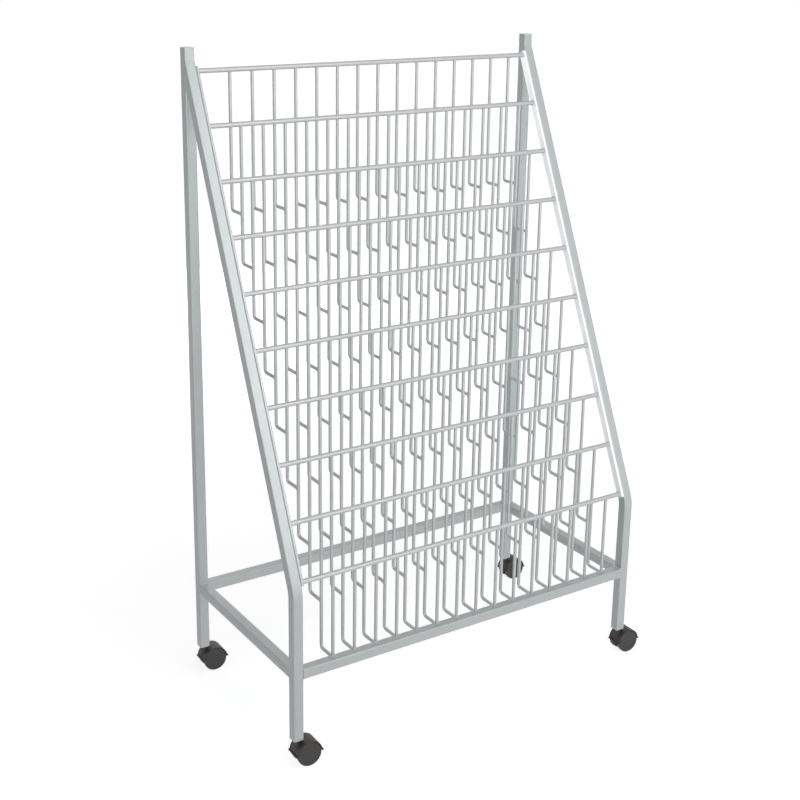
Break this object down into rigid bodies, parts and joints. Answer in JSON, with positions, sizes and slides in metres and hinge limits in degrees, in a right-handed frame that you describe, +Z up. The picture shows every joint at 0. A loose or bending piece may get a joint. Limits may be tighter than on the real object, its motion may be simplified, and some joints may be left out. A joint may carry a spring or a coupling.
{
  "type": "mobile periodical display rack",
  "caption": "Sloping steel display rack on twin-wheel swivel casters, with tiers of open wire pockets between two bent tube side frames for magazines and pamphlets.",
  "frame": {"origin": "on the floor, in the middle of the box that the rack fills with its casters as modelled", "axes": "+Z up; the front, where readers stand, faces -Y and the rear posts face +Y; +X to the right of a reader in front"},
  "size_m": [0.8384, 0.4304, 1.27],
  "materials": {
    "painted_tube": "silver-grey satin-gloss powder coat",
    "painted_strip": "silver-grey satin-gloss powder coat",
    "painted_wire": "silver-grey satin-gloss powder coat",
    "caster_hood": "black moulded nylon, lightly textured",
    "caster_wheel": "black moulded nylon, smooth",
    "caster_insert": "black nylon",
    "bright_steel": "zinc-plated steel"
  },
  "bodies": {
    "rack": {"left_rear_post": "painted_tube", "left_post_cap": "painted_tube", "left_slant_leg": "painted_tube", "left_side_rail": "painted_tube", "left_side_strip": "painted_strip", "right_rear_post": "painted_tube", "right_post_cap": "painted_tube", "right_slant_leg": "painted_tube", "right_side_rail": "painted_tube", "right_side_strip": "painted_strip", "front_rail": "painted_tube", "rear_rail": "painted_tube", "front_left_caster_insert": "caster_insert", "front_left_caster_stem": "bright_steel", "front_right_caster_insert": "caster_insert", "front_right_caster_stem": "bright_steel", "rear_left_caster_insert": "caster_insert", "rear_left_caster_stem": "bright_steel", "rear_right_caster_insert": "caster_insert", "rear_right_caster_stem": "bright_steel", "caster_retaining_rings": "bright_steel", "crossbar_01": "painted_wire", "crossbar_02": "painted_wire", "crossbar_03": "painted_wire", "crossbar_04": "painted_wire", "crossbar_05": "painted_wire", "crossbar_06": "painted_wire", "crossbar_07": "painted_wire", "crossbar_08": "painted_wire", "crossbar_09": "painted_wire", "crossbar_10": "painted_wire", "pocket_wires_01": "painted_wire", "pocket_wires_02": "painted_wire", "pocket_wires_03": "painted_wire", "pocket_wires_04": "painted_wire", "pocket_wires_05": "painted_wire", "pocket_wires_06": "painted_wire", "pocket_wires_07": "painted_wire", "pocket_wires_08": "painted_wire", "pocket_wires_09": "painted_wire", "front_wires": "painted_wire"},
    "front_left_caster": {"front_left_caster_hood": "caster_hood", "front_left_caster_axle": "bright_steel"},
    "front_left_front_wheel": {"front_left_caster_front_wheel": "caster_wheel"},
    "front_left_rear_wheel": {"front_left_caster_rear_wheel": "caster_wheel"},
    "front_right_caster": {"front_right_caster_hood": "caster_hood", "front_right_caster_axle": "bright_steel"},
    "front_right_front_wheel": {"front_right_caster_front_wheel": "caster_wheel"},
    "front_right_rear_wheel": {"front_right_caster_rear_wheel": "caster_wheel"},
    "rear_left_caster": {"rear_left_caster_hood": "caster_hood", "rear_left_caster_axle": "bright_steel"},
    "rear_left_front_wheel": {"rear_left_caster_front_wheel": "caster_wheel"},
    "rear_left_rear_wheel": {"rear_left_caster_rear_wheel": "caster_wheel"},
    "rear_right_caster": {"rear_right_caster_hood": "caster_hood", "rear_right_caster_axle": "bright_steel"},
    "rear_right_front_wheel": {"rear_right_caster_front_wheel": "caster_wheel"},
    "rear_right_rear_wheel": {"rear_right_caster_rear_wheel": "caster_wheel"}
  },
  "joints": [
    {"name": "front_left_swivel", "type": "hinge", "parent": "rack", "child": "front_left_caster", "pos_m": [-0.40923, -0.19716, 0.0545], "axis": [0, 0, 1], "continuous": true},
    {"name": "front_left_front_wheel_spin", "type": "hinge", "parent": "front_left_caster", "child": "front_left_front_wheel", "pos_m": [-0.38973, -0.1975, 0.024], "axis": [0.0175, 0.9998, 0], "continuous": true},
    {"name": "front_left_rear_wheel_spin", "type": "hinge", "parent": "front_left_caster", "child": "front_left_rear_wheel", "pos_m": [-0.38973, -0.1975, 0.024], "axis": [0.0175, 0.9998, 0], "continuous": true},
    {"name": "front_right_swivel", "type": "hinge", "parent": "rack", "child": "front_right_caster", "pos_m": [0.37077, -0.19716, 0.0545], "axis": [0, 0, 1], "continuous": true},
    {"name": "front_right_front_wheel_spin", "type": "hinge", "parent": "front_right_caster", "child": "front_right_front_wheel", "pos_m": [0.39027, -0.1975, 0.024], "axis": [0.0175, 0.9998, 0], "continuous": true},
    {"name": "front_right_rear_wheel_spin", "type": "hinge", "parent": "front_right_caster", "child": "front_right_rear_wheel", "pos_m": [0.39027, -0.1975, 0.024], "axis": [0.0175, 0.9998, 0], "continuous": true},
    {"name": "rear_left_swivel", "type": "hinge", "parent": "rack", "child": "rear_left_caster", "pos_m": [-0.40923, 0.19784, 0.0545], "axis": [0, 0, 1], "continuous": true},
    {"name": "rear_left_front_wheel_spin", "type": "hinge", "parent": "rear_left_caster", "child": "rear_left_front_wheel", "pos_m": [-0.38973, 0.1975, 0.024], "axis": [0.0175, 0.9998, 0], "continuous": true},
    {"name": "rear_left_rear_wheel_spin", "type": "hinge", "parent": "rear_left_caster", "child": "rear_left_rear_wheel", "pos_m": [-0.38973, 0.1975, 0.024], "axis": [0.0175, 0.9998, 0], "continuous": true},
    {"name": "rear_right_swivel", "type": "hinge", "parent": "rack", "child": "rear_right_caster", "pos_m": [0.37077, 0.19784, 0.0545], "axis": [0, 0, 1], "continuous": true},
    {"name": "rear_right_front_wheel_spin", "type": "hinge", "parent": "rear_right_caster", "child": "rear_right_front_wheel", "pos_m": [0.39027, 0.1975, 0.024], "axis": [0.0175, 0.9998, 0], "continuous": true},
    {"name": "rear_right_rear_wheel_spin", "type": "hinge", "parent": "rear_right_caster", "child": "rear_right_rear_wheel", "pos_m": [0.39027, 0.1975, 0.024], "axis": [0.0175, 0.9998, 0], "continuous": true}
  ]
}
